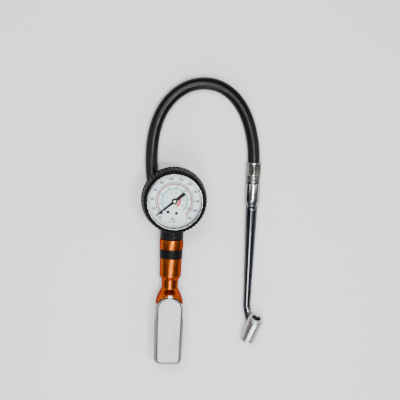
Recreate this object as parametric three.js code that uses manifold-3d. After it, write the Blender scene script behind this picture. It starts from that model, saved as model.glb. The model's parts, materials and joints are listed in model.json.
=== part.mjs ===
// Tyre inflator with a dial gauge: anodised body with a press lever, a Y-shaped
// head block under a booted gauge, a short rubber hose, and a dual-foot chuck.
// Millimetres, +Z up. The inflator lies on its back on z = 0 with the gauge face
// and the lever up, and the body axis runs along Y, the gauge at the +Y end.
import * as THREE from 'three';
import { mergeVertices } from 'three/addons/utils/BufferGeometryUtils.js';
import Module from 'manifold-3d';

const wasm = await Module();
wasm.setup();

// ---------------------------------------------------------------- dimensions
// Where the gauge axis stands in the part's frame (origin: bottom centre).
const GAUGE_X = -34;
const GAUGE_Y = 69.5;
const GAP = 0.3; // clearance left between pieces that touch
const WIDE = 20; // half width that passes the body's sides, for cutting shapes
const HIGH = 60; // height that passes the top of everything

// Body, measured along Y from the gauge axis
const AXIS_Z = 13;
const SPIGOT_TOP = -36;
const RING_TOP = -45;
const BAND_TOP = -55.3;
const BAND_BOTTOM = -65.3;
const NECK_STEP = -85.4;
const FLARE_TOP = -98;
const SHOULDER_END = -115.5;
const BODY_END = -177;
const RING_R = 12.8;
const NECK_R = 11.7;
const SLIM_R = 8.8;
const SPIGOT_R = 7.8;
const BAND_R = 12.4;
const BAND_GROOVE_R = 10.9;
const SHOULDER_W = 14.9;
const SHOULDER_Z = 32.4;
const SHOULDER_TAIL = -113.5; // where its upper half stops beside the lever
const POCKET_Z = 13.5;
const BELLY = -0.5; // depth of the curved underside before it is planed flat at zero
const GRIP_W = 11.9;
const GRIP_TOP = 24;

// Lever: a pressed channel on a pin near the shoulder
const PIVOT = { y: -119.7, z: 19.5 };
const LEVER_TILT = THREE.MathUtils.degToRad(4);
const LEVER = {
  end: -57.2, top: 14.3, sheet: 1.6, archW: 14, endW: 13.2, rimW: 16.3, drop: 20,
  tongueL: 2.4, tongueW: 5,
};
const PIN_R = 2;
const PIN_PLAY = 0.15;

// Air valve, on a vertical axis through the grip
const VALVE_Y = -133;
const PLUNGER_R = 1.5;
const VALVE_BORES = [[6.3, -1, 5], [4.6, 4, 16], [2.6, 15, 21], [4.4, 20, 25]]; // [radius, from, to]
const INLET = { z: 12, r: 9.2, depth: 15, ductR: 3.2, ductDrop: 2 };
const DUCT = { r: 2, rise: 18 }; // from the valve up the neck to the head block

// Head block and the hose fitting on it
const HOSE_ANGLE = THREE.MathUtils.degToRad(23);
const BOSS_ROOT = new THREE.Vector3(0, -42, AXIS_Z);
const BOSS_END = 24;
const GAUGE_THREAD_R = 4.85;
const LOCK_SCREW = { x: 1.6, y: -41.4, r: 1.7 };

// Hose and its ferrules
const HOSE_R = 6.75;
const HOSE_BORE_R = 4.1;
const FERRULE_R = 7.9;
const FERRULE_BORE_R = 7.1;
const FERRULE_L = 15;

// Gauge, heights above the surface
const CASE = { back: 31, floor: 32.6, front: 52.8, outer: 30.6, inner: 28.2, ledge: 49.4 };
const GAUGE_SIDES = 36;
const DIAL_Z = 44.6;
const NEEDLE_Z = 47.2;
const NEEDLE = { tip: 25, tail: 13.4, hub: 3, thick: 0.7 };
const REST_ANGLE = THREE.MathUtils.degToRad(219.5); // needle direction at zero, from +X
const STOP_PIN = { r: 0.8, out: 18.3, turn: 0.1 };
const PINION = { teeth: 8, pitch: 2.4, tip: 2.9, root: 1.8, z: 40, depth: 1 };
const SECTOR = { pitch: 14.4, tip: 14.9, root: 13.6, step: THREE.MathUtils.degToRad(7.5) };
const SECTOR_DIR = THREE.MathUtils.degToRad(200);
const SECTOR_DIST = PINION.pitch + SECTOR.pitch + 0.35;

// Chuck side
const CHUCK_X = 85.3;
const CHUCK_Z = 7.9;
const CHUCK = { ferruleTop: 41.6, collarTop: 25.2, barrelTop: 17.5, coneTop: -0.7, stemTop: -6.3 };
const STEM = { topR: 6.3, endR: 3.95, straightEnd: -113, boreR: 2 };
const HEAD_CENTRE = new THREE.Vector3(91.2, -140.8, 13.3);
const HEAD_DIR = new THREE.Vector3(0.258, 0.89, 0.375).normalize();
const HEAD = { r: 8.1, half: 12.3, capL: 2.9, mouthR: 4.8 };

// ------------------------------------------------------------------ materials
const finish = (color, roughness, metalness) => () =>
  new THREE.MeshStandardMaterial({ color, roughness, metalness });
const orange = finish(0xc85a08, 0.28, 0.85);
const black = finish(0x17171a, 0.45, 0.2);
const rubber = finish(0x121214, 0.75, 0);
const brass = finish(0xb08d4a, 0.35, 0.9);
const steel = finish(0x8f9296, 0.35, 0.9);
const satin = finish(0xb9babb, 0.38, 0.85);
const chrome = finish(0xd6d8db, 0.12, 1);
const dialWhite = finish(0xd3dee2, 0.6, 0);
const glass = finish(0xe8f0f2, 0.05, 0);

// ------------------------------------------------------------ geometry helpers
function solid(geometry) {
  const plain = geometry.index ? geometry.toNonIndexed() : geometry.clone();
  plain.deleteAttribute('normal');
  plain.deleteAttribute('uv');
  const merged = mergeVertices(plain, 1e-4);
  return new wasm.Manifold(new wasm.Mesh({
    numProp: 3,
    vertProperties: new Float32Array(merged.attributes.position.array),
    triVerts: new Uint32Array(merged.index.array),
  }));
}

function toGeometry(manifold) {
  const mesh = manifold.getMesh();
  const geometry = new THREE.BufferGeometry();
  geometry.setAttribute('position', new THREE.BufferAttribute(mesh.vertProperties, 3));
  geometry.setIndex(new THREE.BufferAttribute(mesh.triVerts, 1));
  geometry.computeVertexNormals();
  return geometry;
}

const join = (...parts) =>
  toGeometry(parts.map(solid).reduce((sum, part) => sum.add(part)));
const cut = (base, ...tools) =>
  toGeometry(tools.map(solid).reduce((rest, tool) => rest.subtract(tool), solid(base)));

// A turned piece about Z; the profile is a list of [radius, z]
function turned(profile, segments = 24) {
  const points = profile.map(([r, z]) => new THREE.Vector2(r, z));
  return new THREE.LatheGeometry(points, segments).rotateX(Math.PI / 2);
}

const rod = (r, z0, z1, segments = 20) =>
  turned([[0, z0], [r, z0], [r, z1], [0, z1]], segments);
const ring = (inner, outer, z0, z1, segments = 24) =>
  turned([[inner, z0], [outer, z0], [outer, z1], [inner, z1], [inner, z0]], segments);

// Puts geometry made along +Z at a place, pointing along a direction
function aim(geometry, at, dir) {
  const turn = new THREE.Quaternion().setFromUnitVectors(
    new THREE.Vector3(0, 0, 1), dir.clone().normalize());
  return geometry.applyQuaternion(turn).translate(at.x, at.y, at.z);
}

function bar(r, from, to, segments = 16) {
  const dir = to.clone().sub(from);
  return aim(rod(r, 0, dir.length(), segments), from, dir);
}

function circleShape(r, sides) {
  const corners = Array.from({ length: sides }, (_, i) => {
    const angle = (i / sides) * 2 * Math.PI;
    return new THREE.Vector2(r * Math.cos(angle), r * Math.sin(angle));
  });
  return new THREE.Shape(corners);
}

const at = (x, y, z) => new THREE.Vector3(x, y, z);
const polar = (angle, r) => new THREE.Vector2(r * Math.cos(angle), r * Math.sin(angle));

const along = (path, shape, steps) =>
  new THREE.ExtrudeGeometry(shape, { steps, extrudePath: path, bevelEnabled: false });

const plate = (shape, z0, z1, curveSegments = 12) =>
  new THREE.ExtrudeGeometry(shape, { depth: z1 - z0, bevelEnabled: false, curveSegments })
    .translate(0, 0, z0);

const block = (x0, x1, y0, y1, z0, z1) =>
  new THREE.BoxGeometry(x1 - x0, y1 - y0, z1 - z0)
    .translate((x0 + x1) / 2, (y0 + y1) / 2, (z0 + z1) / 2);

// A closed skin over rings of equal point count, each ring a list of Vector3
function skin(rings) {
  const count = rings[0].length;
  const positions = [];
  const push = (...points) => points.forEach((p) => positions.push(p.x, p.y, p.z));
  for (let k = 0; k + 1 < rings.length; k += 1) {
    for (let i = 0; i < count; i += 1) {
      const next = (i + 1) % count;
      const [a, b] = [rings[k][i], rings[k][next]];
      const [c, d] = [rings[k + 1][next], rings[k + 1][i]];
      push(a, b, c, a, c, d);
    }
  }
  const first = rings[0];
  const last = rings[rings.length - 1];
  for (let i = 1; i + 1 < count; i += 1) {
    push(first[0], first[i + 1], first[i]);
    push(last[0], last[i], last[i + 1]);
  }
  const geometry = new THREE.BufferGeometry();
  geometry.setAttribute('position', new THREE.Float32BufferAttribute(positions, 3));
  return geometry;
}

// ------------------------------------------------------------------ scene graph
const object = new THREE.Group();
object.position.set(GAUGE_X, GAUGE_Y, 0);

function add(name, geometry, material, group = object) {
  const mesh = new THREE.Mesh(geometry, material());
  mesh.name = name;
  group.add(mesh);
  return mesh;
}

// ------------------------------------------------------------------------ body
// One cross-section of the body: a superellipse, round at power 2
function bodySection({ y, w, low, high, power = 2 }) {
  const sides = 28;
  const soften = (v) => Math.sign(v) * Math.abs(v) ** (2 / power);
  return Array.from({ length: sides }, (_, i) => {
    const angle = (i / sides) * 2 * Math.PI;
    const z = (low + high) / 2 + ((high - low) / 2) * soften(Math.sin(angle));
    return new THREE.Vector3(w * soften(Math.cos(angle)), y, z);
  });
}

const round = (y, r) => ({ y, w: r, low: AXIS_Z - r, high: AXIS_Z + r });

function neckSections() {
  return [
    round(SPIGOT_TOP, SPIGOT_R), round(RING_TOP, SPIGOT_R),
    round(RING_TOP - 0.01, RING_R - 0.6), round(RING_TOP - 0.6, RING_R),
    round(BAND_TOP + 0.5, RING_R), round(BAND_TOP, RING_R - 0.5),
    round(BAND_TOP - 0.01, BAND_GROOVE_R), round(BAND_BOTTOM + 0.01, BAND_GROOVE_R),
    round(BAND_BOTTOM, NECK_R - 0.4), round(BAND_BOTTOM - 0.5, NECK_R),
    round(NECK_STEP + 1.6, NECK_R), round(NECK_STEP + 0.4, NECK_R - 0.5),
    round(NECK_STEP - 1.5, SLIM_R + 0.9), round(NECK_STEP - 3.5, SLIM_R),
    round(FLARE_TOP + 2, SLIM_R),
  ];
}

// The shoulder swells from the slim round neck to a squarer, wider bell
function flareSections() {
  const steps = 7;
  return Array.from({ length: steps + 1 }, (_, i) => {
    const t = i / steps;
    const rise = Math.sin((t * Math.PI) / 2) ** 0.9;
    const lift = THREE.MathUtils.smoothstep(t, 0, 0.36);
    return {
      y: THREE.MathUtils.lerp(FLARE_TOP, SHOULDER_END, t),
      w: THREE.MathUtils.lerp(SLIM_R, SHOULDER_W, rise),
      low: THREE.MathUtils.lerp(AXIS_Z - SLIM_R, BELLY, rise),
      high: THREE.MathUtils.lerp(AXIS_Z + SLIM_R, SHOULDER_Z, lift),
      power: THREE.MathUtils.lerp(2, 3.4, rise),
    };
  });
}

const gripSections = () => [
  { y: -105, w: GRIP_W, low: 1, high: GRIP_TOP, power: 8 },
  { y: -112, w: GRIP_W, low: BELLY, high: GRIP_TOP, power: 8 },
  { y: BODY_END + 1, w: GRIP_W, low: BELLY, high: GRIP_TOP, power: 8 },
  { y: BODY_END, w: GRIP_W - 1, low: BELLY + 1, high: GRIP_TOP - 1, power: 7 },
];

// Room for the lever's rounded end inside the shoulder
function leverPocket() {
  const r = LEVER.archW + 1;
  const back = PIVOT.y - WIDE;
  const shape = new THREE.Shape();
  shape.absarc(0, PIVOT.y, r, 0, Math.PI);
  shape.lineTo(-r, back);
  shape.lineTo(r, back);
  return join(plate(shape, POCKET_Z, HIGH, 12),
    block(-WIDE, WIDE, back, SHOULDER_TAIL, POCKET_Z, HIGH));
}

// Everything in front of the grip's half-round upper end
function gripFrontTrim() {
  return cut(block(-WIDE, WIDE, PIVOT.y, FLARE_TOP, POCKET_Z, HIGH),
    rod(GRIP_W - 0.2, 0, HIGH + 1, 28).translate(0, PIVOT.y, 0));
}

// A slot in the shoulder's front edge for the lever's tongue
function tongueSlot() {
  const tip = PIVOT.y + LEVER.archW + LEVER.tongueL;
  const half = LEVER.tongueW / 2 + 0.4;
  return block(-half, half, tip - 5, tip + 0.5, 29.5, HIGH);
}

function makeBody() {
  const shoulder = cut(skin([...neckSections(), ...flareSections()].map(bodySection)),
    leverPocket(), tongueSlot());
  const shell = join(shoulder, cut(skin(gripSections().map(bodySection)), gripFrontTrim()));
  const bushEnd = BODY_END + INLET.depth;
  const ductZ = INLET.z - INLET.ductDrop;
  return cut(shell,
    block(-WIDE, WIDE, BODY_END - 5, FLARE_TOP, -3, 0),
    bar(INLET.r, at(0, BODY_END - 1, INLET.z), at(0, bushEnd, INLET.z), 24),
    bar(INLET.ductR, at(0, bushEnd - 1, ductZ), at(0, VALVE_Y, ductZ)),
    ...VALVE_BORES.map(([r, from, to]) => rod(r, from, to).translate(0, VALVE_Y, 0)),
    bar(DUCT.r, at(0, VALVE_Y, DUCT.rise), at(0, SPIGOT_TOP + 1, AXIS_Z)),
    bar(PIN_R + PIN_PLAY, at(-WIDE, PIVOT.y, PIVOT.z), at(WIDE, PIVOT.y, PIVOT.z)));
}

function addBody() {
  add('body_casting', makeBody(), orange);
  const band = turned([
    [BAND_GROOVE_R + 0.15, 0.15], [BAND_R - 0.4, 0.15], [BAND_R, 0.6],
    [BAND_R, 9.4], [BAND_R - 0.4, 9.85], [BAND_GROOVE_R + 0.15, 9.85],
    [BAND_GROOVE_R + 0.15, 0.15],
  ], 28);
  add('grip_band', aim(band, at(0, BAND_BOTTOM, AXIS_Z), at(0, 1, 0)), rubber);
  const bush = turned([
    [5.8, 0], [8.6, 0], [9, 0.4], [9, 13.6], [3.6, 13.6], [3.6, 12], [5.8, 11], [5.8, 0],
  ]);
  add('inlet_bush', aim(bush, at(0, BODY_END + 0.2, INLET.z), at(0, 1, 0)), brass);
  const filter = rod(5.4, 0, 1.4);
  add('inlet_filter', aim(filter, at(0, BODY_END + 9.4, INLET.z), at(0, 1, 0)), steel);
}

// ----------------------------------------------------------------------- valve
function coil(radius, wire, height, turns, sides = 5) {
  const steps = Math.round(turns * 10);
  const points = Array.from({ length: steps + 1 }, (_, i) => {
    const angle = (i / 10) * 2 * Math.PI;
    const z = wire + (height - 2 * wire) * (i / steps);
    return at(radius * Math.cos(angle), radius * Math.sin(angle), z);
  });
  return along(new THREE.CatmullRomCurve3(points), circleShape(wire, sides), steps);
}

function hexSocket(acrossFlats, z0, z1) {
  const shape = circleShape(acrossFlats / Math.sqrt(3), 6);
  return plate(shape, z0, z1);
}

function addValve() {
  const axis = new THREE.Group();
  axis.position.set(0, VALVE_Y, 0);
  object.add(axis);
  const plug = cut(rod(6, 0.6, 4.6), hexSocket(6, 0, 3));
  add('valve_end_plug', plug, brass, axis);
  add('valve_spring', coil(3.2, 0.4, 6, 5).translate(0, 0, 4.8), steel, axis);
  const plunger = turned([
    [0, 11], [3.6, 11], [3.6, 12.6], [2.2, 13.4], [PLUNGER_R, 13.4],
    [PLUNGER_R, 31.9], [0.9, 32.6], [0, 32.8],
  ], 20);
  add('valve_plunger', plunger, steel, axis);
  add('valve_seat', ring(2.5, 4.4, 13.75, 15.8, 24), rubber, axis);
  add('valve_stem_seal', ring(1.75, 4.1, 20.2, 21.4, 24), rubber, axis);
  const guide = turned([
    [1.75, 21.6], [4.2, 21.6], [4.2, 24.2], [5.5, 24.2], [5.5, 25.4], [1.75, 25.4], [1.75, 21.6],
  ], 24);
  add('valve_guide', guide, brass, axis);
}

// ----------------------------------------------------------------------- lever
// Plan outline: a half-round end, gently tapering sides, rounded far corners
function leverOutline(grow, endGrow) {
  const front = LEVER.archW + grow;
  const back = LEVER.endW + endGrow;
  const endY = LEVER.end - endGrow;
  const corner = 5 + endGrow;
  const shape = new THREE.Shape();
  shape.absarc(0, 0, front, 0, Math.PI);
  shape.absarc(-back + corner, endY + corner, corner, Math.PI, 1.5 * Math.PI);
  shape.absarc(back - corner, endY + corner, corner, 1.5 * Math.PI, 2 * Math.PI);
  return shape.getPoints(9);
}

// A tub with a smaller top outline and a wider rim outline
function tub(topOutline, rimOutline, top, rim) {
  const lift = (outline, z) => outline.map((p) => at(p.x, p.y, z));
  return skin([lift(rimOutline, rim), lift(topOutline, top)]);
}

function makeLever() {
  const { drop, sheet, tongueL, tongueW } = LEVER;
  const flare = LEVER.rimW - LEVER.endW;
  const outer = tub(leverOutline(0, 0), leverOutline(0, flare), LEVER.top, LEVER.top - drop);
  const inner = tub(leverOutline(-sheet, -sheet), leverOutline(-sheet, flare - sheet),
    LEVER.top - sheet, LEVER.top - drop - 0.5);
  const below = new THREE.Shape([
    new THREE.Vector2(20, 10.3), new THREE.Vector2(7, 10.3), new THREE.Vector2(4.4, -3),
    new THREE.Vector2(2.6, -4.6), new THREE.Vector2(-4, -4.6), new THREE.Vector2(-10, 2.6),
    new THREE.Vector2(-24, 6), new THREE.Vector2(-80, 6.8), new THREE.Vector2(-80, -30),
    new THREE.Vector2(20, -30),
  ]);
  const trim = plate(below, -30, 30).applyMatrix4(new THREE.Matrix4().makeBasis(
    at(0, 1, 0), at(0, 0, 1), at(1, 0, 0)));
  const tongue = block(-tongueW / 2, tongueW / 2, LEVER.archW - 1, LEVER.archW + tongueL,
    LEVER.top - 1.5, LEVER.top);
  const hole = bar(PIN_R + PIN_PLAY, at(-WIDE, 0, 0), at(WIDE, 0, 0));
  return toGeometry(solid(outer).subtract(solid(inner)).subtract(solid(trim))
    .subtract(solid(hole)).add(solid(tongue)));
}

function addLever() {
  const group = new THREE.Group();
  group.position.set(0, PIVOT.y, PIVOT.z);
  group.rotation.x = -LEVER_TILT;
  object.add(group);
  add('lever', makeLever(), satin, group);
  const half = LEVER.archW + 0.8;
  add('lever_pivot_pin', bar(PIN_R, at(-half, 0, 0), at(half, 0, 0)), steel, group);
}

// ------------------------------------------------------------------ head block
const hoseDir = at(-Math.sin(HOSE_ANGLE), Math.cos(HOSE_ANGLE), 0);
const onBoss = (s) => BOSS_ROOT.clone().addScaledVector(hoseDir, s);

function makeHeadBlock() {
  const collar = turned([[0, 0], [12, 0], [12.5, 0.5], [12.5, 11], [10, 14.5], [0, 14.5]], 28);
  const shell = join(
    aim(collar, at(0, RING_TOP + GAP, AXIS_Z), at(0, 1, 0)),
    bar(9.2, onBoss(2), onBoss(BOSS_END), 24),
    block(-1.6, 7.4, -38, 0, 4.6, 21.4),
    rod(7.6, 4, 25.8, 24));
  return cut(shell,
    bar(SPIGOT_R + GAP, at(0, RING_TOP - 1, AXIS_Z), at(0, SPIGOT_TOP + GAP, AXIS_Z), 24),
    bar(6.5, onBoss(15), onBoss(BOSS_END + 1), 24),
    bar(2.4, at(0, -37, AXIS_Z), onBoss(16)),
    bar(2.2, at(2.6, -37, AXIS_Z), at(2.6, 0.5, AXIS_Z)),
    rod(GAUGE_THREAD_R + GAP, 12, 26.5),
    rod(LOCK_SCREW.r + 0.25, 19.2, 30, 16).translate(LOCK_SCREW.x, LOCK_SCREW.y, 0));
}

function addHeadBlock() {
  add('head_block', makeHeadBlock(), black);
  const screw = cut(rod(LOCK_SCREW.r, 21.2, 26.2, 16), hexSocket(1.6, 24.8, 27));
  add('head_lock_screw', screw.translate(LOCK_SCREW.x, LOCK_SCREW.y, 0), steel);
  const hex = plate(circleShape(13 / Math.sqrt(3), 6), BOSS_END + GAP, BOSS_END + 5);
  const fitting = cut(
    join(hex, rod(6.2, 16, BOSS_END + 1), rod(3.8, BOSS_END + 4, BOSS_END + 18)),
    rod(2.2, 15, BOSS_END + 19));
  add('hose_body_fitting', aim(fitting, BOSS_ROOT, hoseDir), brass);
  const sleeve = ring(FERRULE_BORE_R, FERRULE_R, BOSS_END + 5.3, BOSS_END + 5.3 + FERRULE_L);
  add('hose_body_ferrule', aim(sleeve, BOSS_ROOT, hoseDir), chrome);
}

// ------------------------------------------------------------------------ hose
// Centreline from inside the body ferrule to inside the chuck ferrule
const HOSE_ROUTE = [
  onBoss(BOSS_END + 5.8), onBoss(BOSS_END + 13), onBoss(BOSS_END + 21),
  at(-20.6, 8.6, 12.1), at(-22.8, 19.2, 10.3), at(-24.2, 31, 8.5), at(-24.7, 44, 7.3),
  at(-24.1, 58.2, 6.9), at(-21.8, 73, 6.9), at(-17.2, 87.5, 6.9), at(-9.5, 101, 6.9),
  at(1.3, 112.2, 6.9), at(14.8, 119.8, 6.9), at(29.9, 122.5, 6.9), at(44.8, 120, 6.9),
  at(58, 112.4, 6.9), at(68.5, 100.8, 6.9), at(76, 87.1, 6.9), at(80.8, 72.9, 7),
  at(83.7, 59.2, 7.4), at(84.9, 47, 7.7), at(CHUCK_X, 36, CHUCK_Z), at(CHUCK_X, 25.8, CHUCK_Z),
];

function addHose() {
  const path = new THREE.CatmullRomCurve3(HOSE_ROUTE);
  const tube = along(path, circleShape(HOSE_R, 10), 48);
  const hose = cut(tube,
    bar(HOSE_BORE_R, onBoss(BOSS_END), onBoss(BOSS_END + 18.5), 16),
    bar(HOSE_BORE_R, at(CHUCK_X, 20, CHUCK_Z), at(CHUCK_X, 39, CHUCK_Z), 16));
  add('hose', hose, rubber);
}

// ----------------------------------------------------------------------- gauge
function addGaugeShell() {
  const boot = turned([
    [24, 29.2], [33.6, 29.2], [34.8, 30.4], [34.4, 38], [33.4, 49], [32.6, 52.6],
    [31.4, 54.2], [29.4, 54.2], [29.4, 53.1], [30.9, 53.1], [30.9, 30.7], [24, 30.7],
    [24, 29.2],
  ], GAUGE_SIDES);
  add('gauge_boot', boot, rubber);
  const { back, floor, front, outer, inner, ledge } = CASE;
  const shell = turned([
    [6.6, back], [outer, back], [outer, front], [29.2, front], [29.2, ledge],
    [inner, ledge], [inner, floor], [6.6, floor], [6.6, back],
  ], GAUGE_SIDES);
  add('gauge_case', shell, steel);
  add('lens_gasket', ring(27.4, 28.9, ledge + 0.2, 50.2, GAUGE_SIDES), rubber);
  add('gauge_lens', rod(28.9, 50.4, 52.3, GAUGE_SIDES), glass);
  const bezel = turned([
    [27.4, 52.5], [28.95, 52.5], [28.95, 54.6], [28.5, 55], [27.9, 55], [27.4, 54.3],
    [27.4, 52.5],
  ], GAUGE_SIDES);
  add('bezel_ring', bezel, chrome);
}

function makeSocket() {
  const hex = plate(circleShape(14 / Math.sqrt(3), 6), 26.1, 30.7);
  return cut(
    join(hex, rod(GAUGE_THREAD_R, 16, 27), rod(6.2, 30, 33.2), rod(8.6, 32.9, 36.5),
      block(-4, 4, -19, 0, 32.9, 37.5), block(-4, 4, -24.6, -18.4, 32.9, 44)),
    rod(1.6, 15, 34.5),
    bar(1.2, at(0, 0, 34), at(0, -22, 34)));
}

function makeBourdonTube() {
  const radius = 21.5;
  const from = THREE.MathUtils.degToRad(-78);
  const sweep = THREE.MathUtils.degToRad(272);
  const steps = 28;
  const rings = Array.from({ length: steps + 1 }, (_, i) => {
    const angle = from + (sweep * i) / steps;
    return [[1.1, 2.4], [1.1, -2.4], [0.5, -3.3], [-0.5, -3.3], [-1.1, -2.4], [-1.1, 2.4],
      [-0.5, 3.3], [0.5, 3.3]].map(([dr, dz]) =>
      at((radius + dr) * Math.cos(angle), (radius + dr) * Math.sin(angle), 40.8 + dz));
  });
  return skin(rings);
}

const sectorAt = at(SECTOR_DIST * Math.cos(SECTOR_DIR), SECTOR_DIST * Math.sin(SECTOR_DIR), 0);

// Tooth outline points around a centre, at angles given in radians
function toothPoints(angle, halves, radii) {
  const [rootHalf, pitchHalf, tipHalf] = halves;
  const { root, pitch, tip } = radii;
  return [[-rootHalf, root], [-pitchHalf, pitch], [-tipHalf, tip],
    [tipHalf, tip], [pitchHalf, pitch], [rootHalf, root]].map(([turn, r]) => polar(angle + turn, r));
}

function makeArbor() {
  const halves = [11, 8, 4.5].map(THREE.MathUtils.degToRad);
  const spacing = (2 * Math.PI) / PINION.teeth;
  const outline = [];
  for (let i = 0; i < PINION.teeth; i += 1) {
    outline.push(...toothPoints(SECTOR_DIR + (i + 0.5) * spacing, halves, PINION));
  }
  const teeth = plate(new THREE.Shape(outline), PINION.z, PINION.z + PINION.depth);
  return join(teeth, rod(0.8, 37.7, 48.7, 12));
}

// A hub with a short tail on one side and a toothed fan on the other
function makeSector() {
  const halves = [1.9, 1.3, 0.7].map(THREE.MathUtils.degToRad);
  const toPinion = SECTOR_DIR - Math.PI;
  const hub = 2.2;
  const tail = 4.6;
  const outline = [
    polar(toPinion + 1.4, hub), polar(SECTOR_DIR, hub), polar(SECTOR_DIR + 0.9, tail),
    polar(SECTOR_DIR + 1.3, tail), polar(toPinion - 1.4, hub),
  ];
  for (let i = -7; i <= 1; i += 1) {
    outline.push(...toothPoints(toPinion + i * SECTOR.step, halves, SECTOR));
  }
  const level = [PINION.z, PINION.z + PINION.depth];
  return join(plate(new THREE.Shape(outline), ...level), rod(0.8, 37.7, 43.2, 12));
}

function plateOutline() {
  const shape = new THREE.Shape();
  shape.moveTo(3, 3.5);
  shape.lineTo(8, -6);
  shape.lineTo(7, -15);
  shape.lineTo(-8, -15.6);
  shape.lineTo(-15.6, -11.6);
  shape.lineTo(-19, -6);
  shape.lineTo(-17, -2.4);
  shape.lineTo(-3, 3.5);
  return shape;
}

const SCREW_AT = { left: [-6.4, -11.6], right: [2.4, -12.6] };
const PILLARS = [[5, -8.4], [-11.5, -13.2]];

function addMovement() {
  add('gauge_socket', makeSocket(), brass);
  add('bourdon_tube', makeBourdonTube(), brass);
  const holes = [rod(1.1, 30, 60, 12), rod(1.1, 30, 60, 12).translate(sectorAt.x, sectorAt.y, 0)];
  const pillars = PILLARS.map(([x, y]) => rod(1.4, 38.5, 41.9, 12).translate(x, y, 0));
  const lower = cut(join(plate(plateOutline(), 37.8, 38.6), ...pillars), ...holes);
  add('movement_lower_plate', lower, brass);
  const spots = Object.values(SCREW_AT);
  const bosses = spots.map(([x, y]) => rod(2.2, 42.5, 44.3, 16).translate(x, y, 0));
  const taps = spots.map(([x, y]) => rod(1.15, 40, 46, 12).translate(x, y, 0));
  const upper = cut(join(plate(plateOutline(), 42.2, 43), ...bosses), ...holes, ...taps);
  add('movement_upper_plate', upper, brass);
  add('sector_gear', makeSector(), brass).position.copy(sectorAt);
  add('pinion_arbor', makeArbor(), steel);
  const link = plate(new THREE.Shape([
    new THREE.Vector2(-21.2, -7), new THREE.Vector2(-19.8, -6.9),
    new THREE.Vector2(-16.6, -9.2), new THREE.Vector2(-17.6, -10.4),
  ]), 41.3, 41.9);
  add('tip_link', link, steel);
  add('hairspring', makeHairspring(), steel);
}

function makeHairspring() {
  const turns = 3;
  const steps = 14 * turns;
  const edge = (offset) => Array.from({ length: steps + 1 }, (_, i) => {
    const angle = (i / 14) * 2 * Math.PI;
    const r = 1.6 + (3 * i) / steps + offset;
    return new THREE.Vector2(r * Math.cos(angle), r * Math.sin(angle));
  });
  return plate(new THREE.Shape([...edge(0.15), ...edge(-0.15).reverse()]), 43.3, 44.1);
}

function makeNeedle() {
  const { tip, tail, hub, thick } = NEEDLE;
  const back = -Math.PI;
  const shape = new THREE.Shape([
    polar(0.03, tip), polar(-0.03, tip), polar(-0.3, hub), polar(back + 0.3, hub),
    polar(back + 0.13, tail - 1), polar(back + 0.06, tail), polar(back - 0.06, tail),
    polar(back - 0.13, tail - 1), polar(back - 0.3, hub), polar(0.3, hub),
  ]);
  const blade = plate(shape, NEEDLE_Z, NEEDLE_Z + thick);
  const boss = rod(hub, NEEDLE_Z - 0.4, NEEDLE_Z + 1.3);
  return cut(join(blade, boss), rod(1.1, 45, 50, 12));
}

function addDial() {
  const holes = Object.values(SCREW_AT).map(([x, y]) => rod(1.25, 40, 50, 12).translate(x, y, 0));
  const dial = cut(rod(27.9, DIAL_Z, DIAL_Z + 0.8, GAUGE_SIDES), rod(2, 40, 50, 16), ...holes);
  add('dial_plate', dial, dialWhite);
  for (const [side, [x, y]] of Object.entries(SCREW_AT)) {
    const screw = turned([
      [0, 42.6], [0.9, 42.6], [0.9, 45.5], [1.7, 45.5], [1.5, 46.2], [0, 46.3],
    ], 16);
    add(`dial_screw_${side}`, screw.translate(x, y, 0), steel);
  }
  const pinAt = polar(REST_ANGLE + STOP_PIN.turn, STOP_PIN.out);
  const pin = rod(STOP_PIN.r, DIAL_Z + 0.9, NEEDLE_Z + 1.2, 12);
  add('stop_pin', pin.translate(pinAt.x, pinAt.y, 0), steel);
  add('needle', makeNeedle().rotateZ(REST_ANGLE), black);
  add('needle_cap', turned([[0, 48.85], [2, 48.85], [2, 49.4], [1.3, 49.9], [0, 50]], 20), brass);
}

// ----------------------------------------------------------------------- chuck
const alongChuck = (y) => at(CHUCK_X, y, CHUCK_Z);
const down = at(0, -1, 0);

// Turned about the chuck line; the profile is a list of [radius, y]
const chuckTurned = (profile, segments = 28) =>
  aim(turned(profile.map(([r, y]) => [r, -y]), segments), alongChuck(0), down);

function makeStem() {
  const { topR, endR, straightEnd, boreR } = STEM;
  const taper = chuckTurned([[0, straightEnd], [endR, straightEnd],
    [topR, CHUCK.stemTop - GAP], [0, CHUCK.stemTop - GAP]].reverse());
  const bend = new THREE.CatmullRomCurve3([
    alongChuck(straightEnd + 2), at(CHUCK_X, straightEnd - 3, CHUCK_Z),
    at(CHUCK_X + 0.9, straightEnd - 9, CHUCK_Z + 0.6), HEAD_CENTRE]);
  const elbow = along(bend, circleShape(endR, 16), 8);
  const bore = along(bend, circleShape(boreR, 8), 8);
  const axisBore = bar(boreR, alongChuck(straightEnd + 1), alongChuck(0), 8);
  const seat = bar(HEAD.r + 0.2, onHead(-HEAD.half), onHead(HEAD.half), 28);
  return toGeometry(solid(taper).add(solid(elbow)).subtract(solid(bore))
    .subtract(solid(axisBore)).subtract(solid(seat)));
}

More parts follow.
